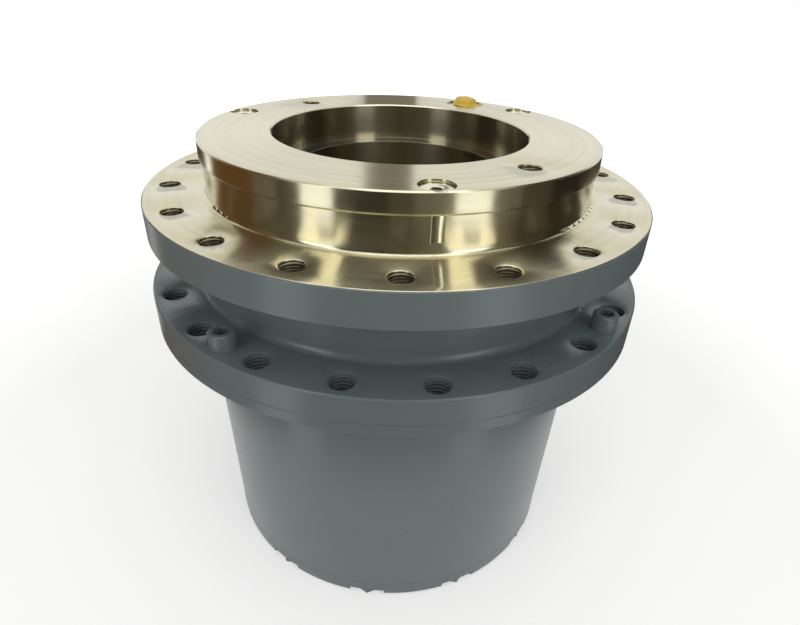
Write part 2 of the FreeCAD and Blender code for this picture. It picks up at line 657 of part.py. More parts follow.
def make_hub():
    """The turning housing: seal collar, bearing seats, sprocket flange and the spigot into the drum."""
    spigot_outer = spigot_radius - SPIGOT_FIT
    groove_top = spigot_groove_height + GROOVE_WIDTH / 2
    groove_bottom = spigot_groove_height - GROOVE_WIDTH / 2
    body = turned(
        [
            (seal_seat_radius, collar_top, "bevel", EDGE_BEVEL),
            (collar_radius, collar_top, "bevel", EDGE_BEVEL),
            (collar_radius, hub_flange_top, "round", COLLAR_ROUNDING),
            (sprocket_flange_radius, hub_flange_top, "bevel", EDGE_BEVEL),
            (sprocket_flange_radius, hub_flange_bottom, "bevel", THREAD_MOUTH_DEPTH),
            (spigot_outer, hub_flange_bottom),
            (spigot_outer, groove_top),
            (spigot_outer - GROOVE_DEPTH, groove_top),
            (spigot_outer - GROOVE_DEPTH, groove_bottom),
            (spigot_outer, groove_bottom),
            (spigot_outer, hub_end, "bevel", EDGE_BEVEL),
            (bearing_outer_radius, hub_end),
            (bearing_outer_radius, rib_bottom),
            (bearing_outer_radius - BEARING_RIB_HEIGHT, rib_bottom),
            (bearing_outer_radius - BEARING_RIB_HEIGHT, rib_top),
            (bearing_outer_radius, rib_top),
            (bearing_outer_radius, seal_floor),
            (seal_seat_radius, seal_floor),
        ]
    )
    bolt_hole = tapped_hole(SPROCKET_THREAD_RADIUS, hub_flange_top, hub_flange_bottom)
    screw_hole_radius = FLANGE_SCREW_RADIUS + FLANGE_SCREW_HOLE_GAP
    screw_hole = disc(screw_hole_radius, hub_flange_bottom, hub_flange_top)
    return body.cut(
        spread(bolt_hole, sprocket_bolt_circle, sprocket_bolt_angles)
        + spread(screw_hole, flange_screw_circle, flange_screw_angles)
    )


def make_drum():
    """The ring gear drum: a thin bolting flange, a register for the sprocket and a tapered barrel."""
    register_bottom = drum_flange_bottom - DRUM_REGISTER_LENGTH
    body = turned(
        [
            (sprocket_flange_radius, hub_flange_bottom, "bevel", THREAD_MOUTH_DEPTH),
            (sprocket_flange_radius, drum_flange_bottom, "bevel", EDGE_BEVEL),
            (drum_top_radius, drum_flange_bottom, "round", DRUM_REGISTER_ROUNDING),
            (drum_top_radius, register_bottom),
            (drum_end_radius, drum_end),
            (cover_bore_radius, drum_end),
            (cover_bore_radius, gear_bottom),
            (ring_tip_radius, gear_bottom),
            (ring_tip_radius, gear_top),
            (spigot_radius, gear_top),
            (spigot_radius, hub_flange_bottom),
        ]
    )
    bolt_hole = disc(SPROCKET_HOLE_RADIUS, drum_flange_bottom, hub_flange_bottom)
    screw_hole = disc(FLANGE_SCREW_RADIUS, drum_flange_bottom, hub_flange_bottom)
    cover_hole = disc(COVER_BOLT_RADIUS, drum_end, drum_end + COVER_BOLT_REACH)
    return body.cut(
        [ring_gear_cutter()]
        + spread(bolt_hole, sprocket_bolt_circle, sprocket_bolt_angles)
        + spread(screw_hole, flange_screw_circle, flange_screw_angles)
        + spread(cover_hole, cover_bolt_circle, cover_bolt_angles)
    )


def make_flange_screw():
    """One of the cap screws that hold hub and drum together when no sprocket is fitted."""
    length = HUB_FLANGE_THICKNESS + DRUM_FLANGE_THICKNESS - EDGE_BEVEL
    screw = cap_screw(
        FLANGE_SCREW_RADIUS,
        length,
        FLANGE_SCREW_HEAD_RADIUS,
        FLANGE_SCREW_HEAD_HEIGHT,
        FLANGE_SCREW_SOCKET,
        FLANGE_SCREW_SOCKET_DEPTH,
    )
    return raised(screw, hub_flange_top)


def make_cover():
    """The end cover: a spigot in the drum, a dished disc, and a rim of pads with a bolt in every gap."""
    spigot_outer = cover_bore_radius - SPIGOT_FIT
    groove_top = cover_groove_height + GROOVE_WIDTH / 2
    groove_bottom = cover_groove_height - GROOVE_WIDTH / 2
    disc_inner = cover_face + COVER_DISC_THICKNESS
    button_seat = THRUST_BUTTON_RADIUS + SEAT_FIT
    body = turned(
        [
            (0, thrust_face - THRUST_BUTTON_HEIGHT),
            (button_seat, thrust_face - THRUST_BUTTON_HEIGHT),
            (button_seat, cover_inner),
            (button_seat + COVER_BOSS_WALL, cover_inner, "bevel", EDGE_BEVEL),
            (button_seat + COVER_BOSS_WALL, disc_inner),
            (spigot_outer - COVER_SPIGOT_WALL, disc_inner),
            (spigot_outer - COVER_SPIGOT_WALL, cover_inner, "bevel", EDGE_BEVEL),
            (spigot_outer, cover_inner, "bevel", EDGE_BEVEL),
            (spigot_outer, groove_top),
            (spigot_outer - GROOVE_DEPTH, groove_top),
            (spigot_outer - GROOVE_DEPTH, groove_bottom),
            (spigot_outer, groove_bottom),
            (spigot_outer, drum_end),
            (drum_end_radius, drum_end),
            (drum_end_radius, pad_face, "round", COVER_PAD_ROUNDING),
            (drum_end_radius - COVER_PAD_WIDTH, pad_face, "round", COVER_PAD_ROUNDING),
            (drum_end_radius - COVER_PAD_WIDTH, cover_face),
            (0, cover_face),
        ]
    )
    relief = Part.makeBox(
        COVER_RELIEF_WIDTH,
        COVER_PAD_WIDTH + 2 * EDGE_BEVEL,
        COVER_PAD_HEIGHT,
        Vector(-COVER_RELIEF_WIDTH / 2, -COVER_PAD_WIDTH / 2 - EDGE_BEVEL, pad_face),
    )
    relief_circle = drum_end_radius - COVER_PAD_WIDTH / 2
    bolt_hole = disc(COVER_BOLT_RADIUS + COVER_BOLT_HOLE_GAP, cover_face, drum_end)
    plug_hole = disc(OIL_PLUG_RADIUS, cover_face, disc_inner)
    return body.cut(
        spread(relief, relief_circle, cover_bolt_angles)
        + spread(bolt_hole, cover_bolt_circle, cover_bolt_angles)
        + spread(plug_hole, OIL_PLUG_CIRCLE_RADIUS, oil_plug_angles)
    )


def make_cover_bolt():
    """A hexagon head bolt with its head in a gap between two pads."""
    corner_radius = COVER_BOLT_ACROSS_FLATS / math.sqrt(3)
    head = hexagon(corner_radius, cover_face - COVER_BOLT_HEAD_HEIGHT, cover_face)
    return head.fuse(disc(COVER_BOLT_RADIUS - SEAT_FIT, cover_face, drum_end + COVER_BOLT_REACH))


def make_oil_plug():
    """A socket plug screwed up into the cover, with its collar on a sealing washer."""
    collar_top = cover_face - OIL_PLUG_WASHER
    collar_bottom = collar_top - OIL_PLUG_HEAD_HEIGHT
    plug = turned(
        [
            (0, cover_face + OIL_PLUG_LENGTH),
            (OIL_PLUG_RADIUS - SEAT_FIT, cover_face + OIL_PLUG_LENGTH, "bevel", EDGE_BEVEL),
            (OIL_PLUG_RADIUS - SEAT_FIT, collar_top),
            (OIL_PLUG_HEAD_RADIUS, collar_top),
            (OIL_PLUG_HEAD_RADIUS, collar_bottom, "bevel", EDGE_BEVEL),
            (0, collar_bottom),
        ]
    )
    socket = hexagon(OIL_PLUG_SOCKET, collar_bottom, collar_bottom + OIL_PLUG_SOCKET_DEPTH)
    return plug.cut(socket)


def make_plug_washer():
    return sleeve(OIL_PLUG_RADIUS, OIL_PLUG_HEAD_RADIUS, cover_face - OIL_PLUG_WASHER, cover_face)


def make_bearing():
    """A tapered roller bearing's cup, cone, rollers and cage, with the cup's back face at height zero.

    Cup, rollers and cone share one apex on the axis, below the cup's back face.
    """
    tilt = math.radians(ROLLER_TILT)
    taper = math.radians(ROLLER_TAPER)
    middle_radius = (BEARING_BORE_RADIUS + bearing_outer_radius) / 2
    middle_reach = middle_radius / math.sin(tilt)
    apex = BEARING_WIDTH / 2 - middle_reach * math.cos(tilt)
    small_reach = middle_reach - ROLLER_LENGTH / 2
    large_reach = middle_reach + ROLLER_LENGTH / 2
    small_radius = small_reach * math.tan(taper) - RUNNING_FIT
    large_radius = large_reach * math.tan(taper) - RUNNING_FIT

    def on_axis(reach, offset=0.0):
        """Radius and height of a point on the roller's axis, or beside it away from the bearing's axis."""
        radius = reach * math.sin(tilt) + offset * math.cos(tilt)
        return radius, apex + reach * math.cos(tilt) - offset * math.sin(tilt)

    def cup_track(height):
        return (height - apex) * math.tan(tilt + taper)

    def cone_track(height):
        return (height - apex) * math.tan(tilt - taper)

    cup = turned(
        [
            (bearing_outer_radius - SEAT_FIT, 0),
            (bearing_outer_radius - SEAT_FIT, BEARING_CUP_WIDTH, "bevel", EDGE_BEVEL),
            (cup_track(BEARING_CUP_WIDTH), BEARING_CUP_WIDTH),
            (cup_track(0), 0),
        ]
    )
    lip_fall = CONE_LIP * math.tan(tilt) + RUNNING_FIT
    large_lip = on_axis(large_reach, -large_radius)[1] + RUNNING_FIT
    small_lip = on_axis(small_reach, -small_radius)[1] - lip_fall
    cone_start = BEARING_WIDTH - BEARING_CONE_WIDTH
    cone = turned(
        [
            (BEARING_BORE_RADIUS + SEAT_FIT, cone_start, "bevel", EDGE_BEVEL),
            (cone_track(small_lip) + CONE_LIP, cone_start),
            (cone_track(small_lip) + CONE_LIP, small_lip),
            (cone_track(small_lip), small_lip),
            (cone_track(large_lip), large_lip),
            (cone_track(large_lip) + 2 * CONE_LIP, large_lip),
            (cone_track(large_lip) + 2 * CONE_LIP, BEARING_WIDTH),
            (BEARING_BORE_RADIUS + SEAT_FIT, BEARING_WIDTH, "bevel", EDGE_BEVEL),
        ]
    )

    def frustum(growth):
        start_radius, start_height = on_axis(small_reach - growth)
        return Part.makeCone(
            small_radius + growth,
            large_radius + growth,
            ROLLER_LENGTH + 2 * growth,
            Vector(0, -start_radius, start_height),
            Vector(0, -math.sin(tilt), math.cos(tilt)),
        )

    def around(shape):
        copies = []
        for angle in even_angles(ROLLER_COUNT, 0.0):
            copy = shape.copy()
            copy.rotate(Vector(0, 0, 0), Vector(0, 0, 1), angle)
            copies.append(copy)
        return copies

    half_cage = CAGE_THICKNESS / 2
    cage_start = small_reach - CAGE_END_BAR
    cage_end = large_reach + CAGE_END_BAR
    cage = turned(
        [
            on_axis(cage_start, half_cage),
            on_axis(cage_end, half_cage),
            on_axis(cage_end, -half_cage),
            on_axis(cage_start, -half_cage),
        ]
    )
    return cup, cone, around(frustum(0.0)), cage.cut(around(frustum(2 * RUNNING_FIT)))


def make_ring_nut():
    """The slotted nut that preloads both bearings, with radial holes for its lock screws."""
    outer_radius = nut_thread_radius + RING_NUT_SECTION
    nose_radius = nut_thread_radius + RING_NUT_NOSE_SECTION
    body = turned(
        [
            (nut_thread_radius + SEAT_FIT, bearing_bottom),
            (nose_radius, bearing_bottom),
            (nose_radius, bearing_bottom - RING_NUT_NOSE),
            (outer_radius, bearing_bottom - RING_NUT_NOSE, "bevel", EDGE_BEVEL),
            (outer_radius, nut_bottom, "bevel", EDGE_BEVEL),
            (nut_thread_radius + SEAT_FIT, nut_bottom),
        ]
    )
    slot = Part.makeBox(
        NUT_SLOT_WIDTH,
        2 * NUT_SLOT_DEPTH,
        RING_NUT_HEIGHT,
        Vector(-NUT_SLOT_WIDTH / 2, -NUT_SLOT_DEPTH, nut_bottom),
    )
    return body.cut(
        spread(slot, outer_radius, even_angles(NUT_SLOT_COUNT, NUT_SLOT_ANGLE))
        + [lock_screw(SEAT_FIT, angle) for angle in even_angles(LOCK_SCREW_COUNT, 0.0)]
    )


def lock_screw(growth, angle):
    """A headless screw set radially in the ring nut, or with growth the hole for it."""
    outer_radius = nut_thread_radius + RING_NUT_SECTION
    height = (bearing_bottom - RING_NUT_NOSE + nut_bottom) / 2
    screw = Part.makeCylinder(
        LOCK_SCREW_RADIUS + growth,
        LOCK_SCREW_LENGTH,
        Vector(0, -outer_radius, height),
        Vector(0, 1, 0),
    )
    screw.rotate(Vector(0, 0, 0), Vector(0, 0, 1), angle)
    return screw


def make_final_carrier():
    """The fixed carrier of the final stage: two plates joined by a pillar between each pair of planets."""
    top_plate = sleeve(shaft_passage_radius, carrier_radius, final_top_plate_bottom, spindle_end)
    bottom_plate = sleeve(
        final_carrier_bore_radius, carrier_radius, final_carrier_bottom, final_bottom_plate_top
    )
    pillar = disc(FINAL_PILLAR_RADIUS, final_bottom_plate_top, final_top_plate_bottom)
    pillar_circle = carrier_radius - FINAL_PILLAR_RADIUS - EDGE_BEVEL
    body = top_plate.fuse([bottom_plate] + spread(pillar, pillar_circle, carrier_dowel_angles))
    pin_hole = disc(FINAL_PIN_RADIUS + SEAT_FIT, final_carrier_bottom, spindle_end)
    screw_hole = disc(CARRIER_SCREW_RADIUS, carrier_screw_seat, spindle_end)
    head_hole = disc(CARRIER_SCREW_HEAD_RADIUS + BODY_GAP, final_top_plate_bottom, carrier_screw_seat)
    dowel_hole = disc(CARRIER_DOWEL_RADIUS + SEAT_FIT, final_top_plate_bottom, spindle_end)
    return body.cut(
        spread(pin_hole, final_centre_distance, final_planet_angles)
        + spread(screw_hole.fuse(head_hole), carrier_screw_circle, carrier_screw_angles)
        + spread(dowel_hole, carrier_screw_circle, carrier_dowel_angles)
    )


def make_carrier_screw():
    length = spindle_end - carrier_screw_seat + CARRIER_SCREW_REACH - EDGE_BEVEL
    screw = cap_screw(
        CARRIER_SCREW_RADIUS,
        length,
        CARRIER_SCREW_HEAD_RADIUS,
        CARRIER_SCREW_HEAD_HEIGHT,
        CARRIER_SCREW_SOCKET,
        CARRIER_SCREW_SOCKET_DEPTH,
    )
    return turned_over(screw, carrier_screw_seat)


def make_first_carrier():
    """The carrier of the first stage, splined on the lower end of the final sun, which it drives."""
    top_plate = disc(carrier_radius, first_top_plate_bottom, first_carrier_top)
    spline = gear(
        FINAL_SUN_TEETH,
        MODULE,
        first_top_plate_bottom,
        first_carrier_top,
        sun_phase(FINAL_SUN_TEETH, FINAL_PLANET_TEETH),
        SUN_SPLINE_FIT,
    )
    bottom_plate = sleeve(
        first_carrier_bore_radius, carrier_radius, first_carrier_bottom, first_bottom_plate_top
    )
    pillar = disc(FIRST_PILLAR_RADIUS, first_bottom_plate_top, first_top_plate_bottom)
    pillar_circle = carrier_radius - FIRST_PILLAR_RADIUS - EDGE_BEVEL
    pillars = spread(pillar, pillar_circle, gaps_between(first_planet_angles))
    body = top_plate.cut(spline).fuse([bottom_plate] + pillars)
    pin_hole = disc(FIRST_PIN_RADIUS + SEAT_FIT, first_carrier_bottom, first_carrier_top)
    return body.cut(spread(pin_hole, first_centre_distance, first_planet_angles))


def make_planet(teeth, bore_radius, bottom, top, angle):
    """A planet gear at its place and in mesh, bored for its bush."""
    blank = gear(teeth, MODULE, bottom, top, -angle * RING_TEETH / teeth)
    return blank.cut(disc(bore_radius + SEAT_FIT, bottom, top))


def save_stage(name, teeth, pin_radius, bush_wall, heights, centre_distance, angles):
    """Planets and their bushes, one node each, and the group of pins and of thrust washers."""
    carrier_top, plate_bottom, planet_top, planet_bottom, plate_top, carrier_bottom = heights
    bore_radius = pin_radius + bush_wall
    for number, angle in enumerate(angles, start=1):
        planet = make_planet(teeth, bore_radius, planet_bottom, planet_top, angle)
        save(f"{name}_planet_{number}", placed(planet, centre_distance, angle))
        bush = sleeve(pin_radius + RUNNING_FIT, bore_radius, planet_bottom, planet_top)
        save(f"{name}_planet_bush_{number}", placed(bush, centre_distance, angle))
    pin = disc(pin_radius, carrier_bottom, carrier_top)
    save(f"{name}_planet_pins", spread(pin, centre_distance, angles))
    washer_inner = pin_radius + SEAT_FIT
    washer_outer = pin_radius + THRUST_WASHER_WIDTH
    washers = spread(
        sleeve(washer_inner, washer_outer, planet_top + BODY_GAP, plate_bottom), centre_distance, angles
    )
    washers += spread(
        sleeve(washer_inner, washer_outer, plate_top, planet_bottom - BODY_GAP), centre_distance, angles
    )
    save(f"{name}_thrust_washers", washers)


def make_final_sun():
    """The hollow sun of the final stage, long enough to carry the first carrier on the same teeth."""
    phase = sun_phase(FINAL_SUN_TEETH, FINAL_PLANET_TEETH)
    blank = gear(FINAL_SUN_TEETH, MODULE, first_top_plate_bottom, final_planet_top, phase)
    return blank.cut(disc(sun_bore_radius, first_top_plate_bottom, final_planet_top))


def make_input_shaft():
    """The input shaft: motor spline on top, first sun near the lower end, nose on the thrust button."""
    phase = sun_phase(FIRST_SUN_TEETH, FIRST_PLANET_TEETH)
    spline = gear(INPUT_SPLINE_TEETH, INPUT_SPLINE_MODULE, cavity_floor, shaft_top, 0.0)
    sun = gear(FIRST_SUN_TEETH, MODULE, first_planet_bottom, first_planet_top, phase)
    shaft = turned(
        [
            (0, cavity_floor),
            (INPUT_SHAFT_RADIUS, cavity_floor),
            (INPUT_SHAFT_RADIUS, first_planet_bottom),
            (SHAFT_NOSE_RADIUS, first_planet_bottom),
            (SHAFT_NOSE_RADIUS, thrust_face + BODY_GAP, "bevel", EDGE_BEVEL),
            (0, thrust_face + BODY_GAP),
        ]
    )
    return shaft.fuse([spline, sun])


os.makedirs("parts", exist_ok=True)

# Motor end and frame flange
save("spindle", make_spindle())
save("pull_pins", spread(make_pull_pin(), pull_pin_circle, PULL_PIN_ANGLES))
save("port_cap", placed(make_port_cap(), oil_port_circle, OIL_PORT_ANGLE))

# Floating seal: the upper half stands still, the lower half turns with the hub
seal_ring, seal_rubber = make_seal_half()
save("seal_ring_upper", raised(seal_ring, seal_face))
save("seal_rubber_upper", raised(seal_rubber, seal_face))
save("seal_ring_lower", turned_over(seal_ring, seal_face))
save("seal_rubber_lower", turned_over(seal_rubber, seal_face))

# Main bearings and their nut
cup, cone, rollers, cage = make_bearing()
save("bearing_cup_upper", raised(cup, rib_top))
save("bearing_cone_upper", raised(cone, rib_top))
save("bearing_rollers_upper", [raised(roller, rib_top) for roller in rollers])
save("bearing_cage_upper", raised(cage, rib_top))
save("bearing_cup_lower", turned_over(cup, rib_bottom))
save("bearing_cone_lower", turned_over(cone, rib_bottom))
save("bearing_rollers_lower", [turned_over(roller, rib_bottom) for roller in rollers])
save("bearing_cage_lower", turned_over(cage, rib_bottom))
save("ring_nut", make_ring_nut())
save("nut_lock_screws", [lock_screw(0.0, angle) for angle in even_angles(LOCK_SCREW_COUNT, 0.0)])

# Turning housing
save("hub", make_hub())
save("ring_gear_drum", make_drum())
save("drum_seal", rubber_ring(spigot_radius - SPIGOT_FIT - GROOVE_DEPTH, spigot_groove_height))
save("flange_cap_screws", spread(make_flange_screw(), flange_screw_circle, flange_screw_angles))
save("end_cover", make_cover())
save("cover_seal", rubber_ring(cover_bore_radius - SPIGOT_FIT - GROOVE_DEPTH, cover_groove_height))
save("cover_bolts", spread(make_cover_bolt(), cover_bolt_circle, cover_bolt_angles))
save("drain_plug", placed(make_oil_plug(), OIL_PLUG_CIRCLE_RADIUS, DRAIN_PLUG_ANGLE))
save("level_plug", placed(make_oil_plug(), OIL_PLUG_CIRCLE_RADIUS, LEVEL_PLUG_ANGLE))
save("plug_washers", spread(make_plug_washer(), OIL_PLUG_CIRCLE_RADIUS, oil_plug_angles))
save("thrust_button", disc(THRUST_BUTTON_RADIUS, thrust_face - THRUST_BUTTON_HEIGHT, thrust_face))

# Final stage, on the spindle
final_heights = (
    spindle_end,
    final_top_plate_bottom,
    final_planet_top,
    final_planet_bottom,
    final_bottom_plate_top,
    final_carrier_bottom,
)
dowel = disc(CARRIER_DOWEL_RADIUS, final_top_plate_bottom, spindle_end + CARRIER_DOWEL_REACH)
save("final_carrier", make_final_carrier())
save("carrier_screws", spread(make_carrier_screw(), carrier_screw_circle, carrier_screw_angles))
save("carrier_dowels", spread(dowel, carrier_screw_circle, carrier_dowel_angles))
save_stage(
    "final",
    FINAL_PLANET_TEETH,
    FINAL_PIN_RADIUS,
    FINAL_BUSH_WALL,
    final_heights,
    final_centre_distance,
    final_planet_angles,
)
save("final_sun", make_final_sun())

# First stage, near the end cover
first_heights = (
    first_carrier_top,
    first_top_plate_bottom,
    first_planet_top,
    first_planet_bottom,
    first_bottom_plate_top,
    first_carrier_bottom,
)
save("first_carrier", make_first_carrier())
save_stage(
    "first",
    FIRST_PLANET_TEETH,
    FIRST_PIN_RADIUS,
    FIRST_BUSH_WALL,
    first_heights,
    first_centre_distance,
    first_planet_angles,
)
save("input_shaft", make_input_shaft())
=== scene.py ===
import json
import math

import bmesh
import bpy
from mathutils import Matrix, Vector

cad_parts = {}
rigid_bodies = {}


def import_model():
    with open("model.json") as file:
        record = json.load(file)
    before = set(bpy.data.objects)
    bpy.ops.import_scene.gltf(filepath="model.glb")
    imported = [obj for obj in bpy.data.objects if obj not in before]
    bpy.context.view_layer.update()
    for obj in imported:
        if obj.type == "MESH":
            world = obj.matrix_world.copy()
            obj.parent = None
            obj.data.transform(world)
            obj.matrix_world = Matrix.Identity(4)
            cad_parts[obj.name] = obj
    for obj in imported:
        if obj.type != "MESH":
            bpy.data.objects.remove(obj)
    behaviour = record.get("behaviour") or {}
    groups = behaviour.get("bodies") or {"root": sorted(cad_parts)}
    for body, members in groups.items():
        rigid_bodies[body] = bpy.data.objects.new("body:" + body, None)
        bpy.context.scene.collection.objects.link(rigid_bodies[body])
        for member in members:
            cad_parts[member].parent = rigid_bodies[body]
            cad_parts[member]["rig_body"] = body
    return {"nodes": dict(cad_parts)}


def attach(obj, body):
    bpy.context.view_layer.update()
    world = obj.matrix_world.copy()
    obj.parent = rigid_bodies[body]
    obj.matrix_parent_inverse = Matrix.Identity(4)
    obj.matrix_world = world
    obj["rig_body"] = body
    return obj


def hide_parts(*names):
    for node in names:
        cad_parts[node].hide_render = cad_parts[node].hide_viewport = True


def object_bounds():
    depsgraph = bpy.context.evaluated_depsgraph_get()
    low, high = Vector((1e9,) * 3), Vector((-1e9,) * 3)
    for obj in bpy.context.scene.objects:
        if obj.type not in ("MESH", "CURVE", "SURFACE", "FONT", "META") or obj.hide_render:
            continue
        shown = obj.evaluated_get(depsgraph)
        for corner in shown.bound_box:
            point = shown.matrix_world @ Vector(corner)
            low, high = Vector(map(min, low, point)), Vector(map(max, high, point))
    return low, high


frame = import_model()
cad_nodes = frame["nodes"]
cad_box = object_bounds()
scene = bpy.context.scene
scene.view_settings.view_transform = "Standard"


# Camera. It stands close in front of the drive and a little above its motor face, as a hand-held
# picture of a heavy part on the ground is taken, and looks down so that the whole drum is in view.

MOTOR_FACE_HEIGHT = 0.040
CAMERA_PLACE = Vector((0.0, -0.4540, 0.1387))
CAMERA_TILT = math.radians(-18.19)
CAMERA_PAN = math.radians(0.562)
CAMERA_ROLL = math.radians(1.881)
CAMERA_SENSOR_MM = 36.0
CAMERA_LENS_MM = 25.16
CAMERA_NEAR_LIMIT = 0.01

side = Vector((1.0, 0.0, 0.0))
aim = (Vector((0.0, 0.0, MOTOR_FACE_HEIGHT)) - CAMERA_PLACE).normalized()
upward = side.cross(aim)
tilted_aim = aim * math.cos(CAMERA_TILT) + upward * math.sin(CAMERA_TILT)
tilted_up = upward * math.cos(CAMERA_TILT) - aim * math.sin(CAMERA_TILT)
panned_aim = tilted_aim * math.cos(CAMERA_PAN) + side * math.sin(CAMERA_PAN)
panned_side = side * math.cos(CAMERA_PAN) - tilted_aim * math.sin(CAMERA_PAN)
image_right = panned_side * math.cos(CAMERA_ROLL) + tilted_up * math.sin(CAMERA_ROLL)
image_up = tilted_up * math.cos(CAMERA_ROLL) - panned_side * math.sin(CAMERA_ROLL)

camera_data = bpy.data.cameras.new("camera")
camera_data.sensor_width = CAMERA_SENSOR_MM
camera_data.lens = CAMERA_LENS_MM
camera_data.clip_start = CAMERA_NEAR_LIMIT
camera = bpy.data.objects.new("camera", camera_data)
turn = Matrix((image_right, image_up, -panned_aim)).transposed().to_4x4()
camera.matrix_world = Matrix.Translation(CAMERA_PLACE) @ turn
scene.collection.objects.link(camera)
scene.camera = camera


# Floor and light. The drive stands on a matt white floor under soft boxes. The floor and the sky show as
# plain white, in the metal's mirror images too, and the floor keeps the drive's shadow near its foot.

FLOOR_HEIGHT = cad_box[0].z
FLOOR_RADIUS = 30.0
SHADOW_REACH = 0.45
SHADOW_END = 1.5
NEAR_LIFT = 0.45
SKY_LEVEL = 0.42
SEEN_SKY_LEVEL = 1.0
LAMP_AIM = Vector((0.0, 0.0, -0.1))


def linear(code):
    """An sRGB hex colour such as "5f6b6e", as the linear values that Blender takes."""
    values = []
    for start in (0, 2, 4):
        share = int(code[start:start + 2], 16) / 255
        values.append(share / 12.92 if share <= 0.04045 else ((share + 0.055) / 1.055) ** 2.4)
    return (*values, 1.0)


def add_node(tree, kind, settings=None, links=None):
    """One node with its settings, which are sockets by name or number or else properties, and its links."""
    made = tree.nodes.new(kind)
    for name, value in (settings or {}).items():
        if isinstance(name, int) or name in made.inputs:
            made.inputs[name].default_value = value
        else:
            setattr(made, name, value)
    for name, source in (links or {}).items():
        tree.links.new(source, made.inputs[name])
    return made


def new_material(name):
    """An empty material with its output node."""
    material = bpy.data.materials.new(name)
    material.use_nodes = True
    material.node_tree.nodes.clear()
    output = add_node(material.node_tree, "ShaderNodeOutputMaterial")
    return material, material.node_tree, output


def object_place(tree):
    """The output that gives each point's place in the drive's own frame."""
    return add_node(tree, "ShaderNodeTexCoord").outputs["Object"]


def axle_radius(tree):
    """Outputs for a point's distance from the axle and for its height."""
    parts = add_node(tree, "ShaderNodeSeparateXYZ", links={0: object_place(tree)})
    flat = add_node(tree, "ShaderNodeCombineXYZ", links={"X": parts.outputs["X"], "Y": parts.outputs["Y"]})
    radius = add_node(tree, "ShaderNodeVectorMath", {"operation": "LENGTH"}, {0: flat.outputs[0]})
    return radius.outputs["Value"], parts.outputs["Z"]


def seen_itself(tree):
    """1 for rays that show a surface to the eye, in a mirror or through glass too, and 0 for its light."""
    rays = add_node(tree, "ShaderNodeLightPath").outputs
    seen = rays["Is Camera Ray"]
    for ray in ("Is Glossy Ray", "Is Transmission Ray"):
        seen = add_node(tree, "ShaderNodeMath", {"operation": "MAXIMUM"}, {0: seen, 1: rays[ray]}).outputs[0]
    return seen


floor_material, tree, output = new_material("matt_white_floor_paint")
from_axle, height = axle_radius(tree)
far_lift = add_node(
    tree,
    "ShaderNodeMapRange",
    {"From Min": SHADOW_REACH, "From Max": SHADOW_END, "To Min": NEAR_LIFT, "To Max": 1.0},
    {"Value": from_axle},
)
lift = add_node(
    tree, "ShaderNodeMath", {"operation": "MULTIPLY"}, {0: seen_itself(tree), 1: far_lift.outputs[0]}
)
paper = add_node(
    tree,
    "ShaderNodeBsdfPrincipled",
    {"Base Color": linear("e2e2e0"), "Roughness": 0.95, "Emission Color": linear("ffffff")},
    {"Emission Strength": lift.outputs[0]},
)
tree.links.new(paper.outputs["BSDF"], output.inputs["Surface"])

floor_mesh = bpy.data.meshes.new("floor")
shape = bmesh.new()
bmesh.ops.create_circle(shape, cap_ends=True, radius=FLOOR_RADIUS, segments=96)
bmesh.ops.translate(shape, verts=shape.verts, vec=(0.0, 0.0, FLOOR_HEIGHT))
shape.to_mesh(floor_mesh)
shape.free()
floor = bpy.data.objects.new("floor", floor_mesh)
floor_mesh.materials.append(floor_material)
scene.collection.objects.link(floor)

world = bpy.data.worlds.new("studio")
scene.world = world
world.use_nodes = True
world.node_tree.nodes.clear()
sky_output = add_node(world.node_tree, "ShaderNodeOutputWorld")
sky = add_node(
    world.node_tree, "ShaderNodeBackground", {"Color": linear("ffffff"), "Strength": SKY_LEVEL}
)
seen_sky = add_node(
    world.node_tree, "ShaderNodeBackground", {"Color": linear("ffffff"), "Strength": SEEN_SKY_LEVEL}
)
sky_mix = add_node(
    world.node_tree,
    "ShaderNodeMixShader",
    links={0: seen_itself(world.node_tree), 1: sky.outputs[0], 2: seen_sky.outputs[0]},
)
world.node_tree.links.new(sky_mix.outputs[0], sky_output.inputs["Surface"])


def soft_box(name, azimuth, distance, height, size, watts):
    """A square area light round the drive, azimuth from -Y towards +X in degrees, facing its middle."""
    data = bpy.data.lights.new(name, "AREA")
    data.shape = "SQUARE"
    data.size = size
    data.energy = watts
    lamp = bpy.data.objects.new(name, data)
    turned = math.radians(azimuth)
    place = Vector((distance * math.sin(turned), -distance * math.cos(turned), height))
    lamp.location = place
    lamp.rotation_mode = "QUATERNION"
    lamp.rotation_quaternion = (LAMP_AIM - place).to_track_quat("-Z", "Y")
    scene.collection.objects.link(lamp)


soft_box("box_overhead", azimuth=15, distance=0.4, height=1.9, size=1.5, watts=8.0)
soft_box("box_front_left", azimuth=-41, distance=1.7, height=0.5, size=1.0, watts=5.0)
soft_box("box_front_right", azimuth=38, distance=1.7, height=0.5, size=1.0, watts=5.0)
soft_box("spot_left", azimuth=-41, distance=1.3, height=1.2, size=0.10, watts=0.35)
soft_box("spot_right", azimuth=38, distance=1.3, height=1.2, size=0.10, watts=0.35)


# Cards round the drive. Bare turned steel shows its shape only by what it mirrors, so felt cards lie on
# the floor and stand up behind it, out of the picture, with gaps that leave bright upright streaks.

CARD_START = 0.30
CARD_END = 1.15
CARD_CLEARANCE = 0.003
CARD_STEP = 3.0
TALL_CARD = 1.70
LOW_CARD = 0.30
LOW_CARDS_FROM = 118.0
LOW_CARDS_TO = 170.0


